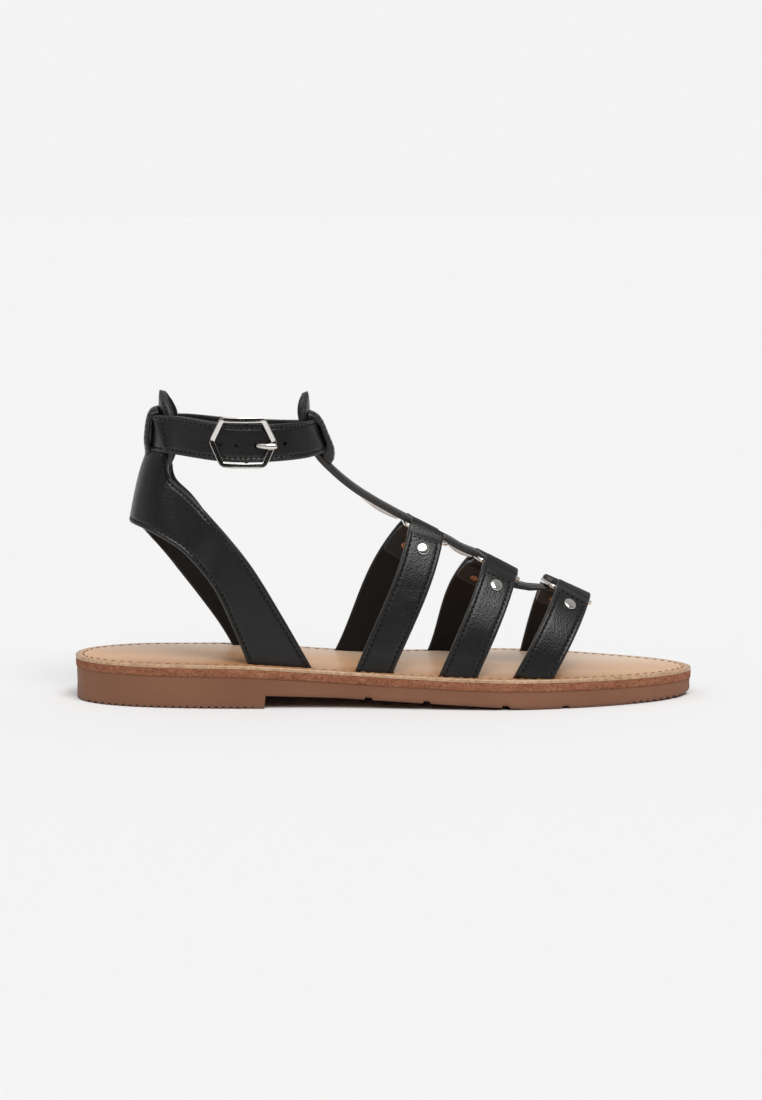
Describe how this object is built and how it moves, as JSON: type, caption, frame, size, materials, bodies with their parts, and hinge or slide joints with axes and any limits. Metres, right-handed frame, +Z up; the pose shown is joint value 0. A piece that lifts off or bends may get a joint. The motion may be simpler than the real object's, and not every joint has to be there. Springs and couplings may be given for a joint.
{
  "type": "gladiator sandal",
  "caption": "Flat gladiator sandal for a right foot: leather cross straps held by metal rings under an instep strap, a heel sling and a buckled ankle strap on a low moulded sole.",
  "frame": {"origin": "middle of the bounding box's underside, on the floor plane", "axes": "+X from the heel to the toe, +Y to the inner (medial) side, +Z up"},
  "size_m": [0.2526, 0.0826, 0.1257],
  "materials": {
    "rubber": "matt, moulded",
    "leatherboard": "matt, ground edge",
    "insole_leather": "satin, smooth",
    "black_leather": "semi-gloss, fine pebble grain",
    "silver_metal": "polished nickel plate"
  },
  "bodies": {
    "root": {"outsole": "rubber", "midsole": "leatherboard", "insole": "insole_leather", "upper": "black_leather", "heel_strap": "black_leather", "ankle_strap": "black_leather", "buckle_frame": "silver_metal", "buckle_prong": "silver_metal", "ring_1": "silver_metal", "ring_2": "silver_metal", "ring_3": "silver_metal", "stud_1_lateral": "silver_metal", "stud_1_medial": "silver_metal", "stud_2_lateral": "silver_metal", "stud_2_medial": "silver_metal", "stud_3_lateral": "silver_metal", "stud_3_medial": "silver_metal"}
  },
  "joints": []
}
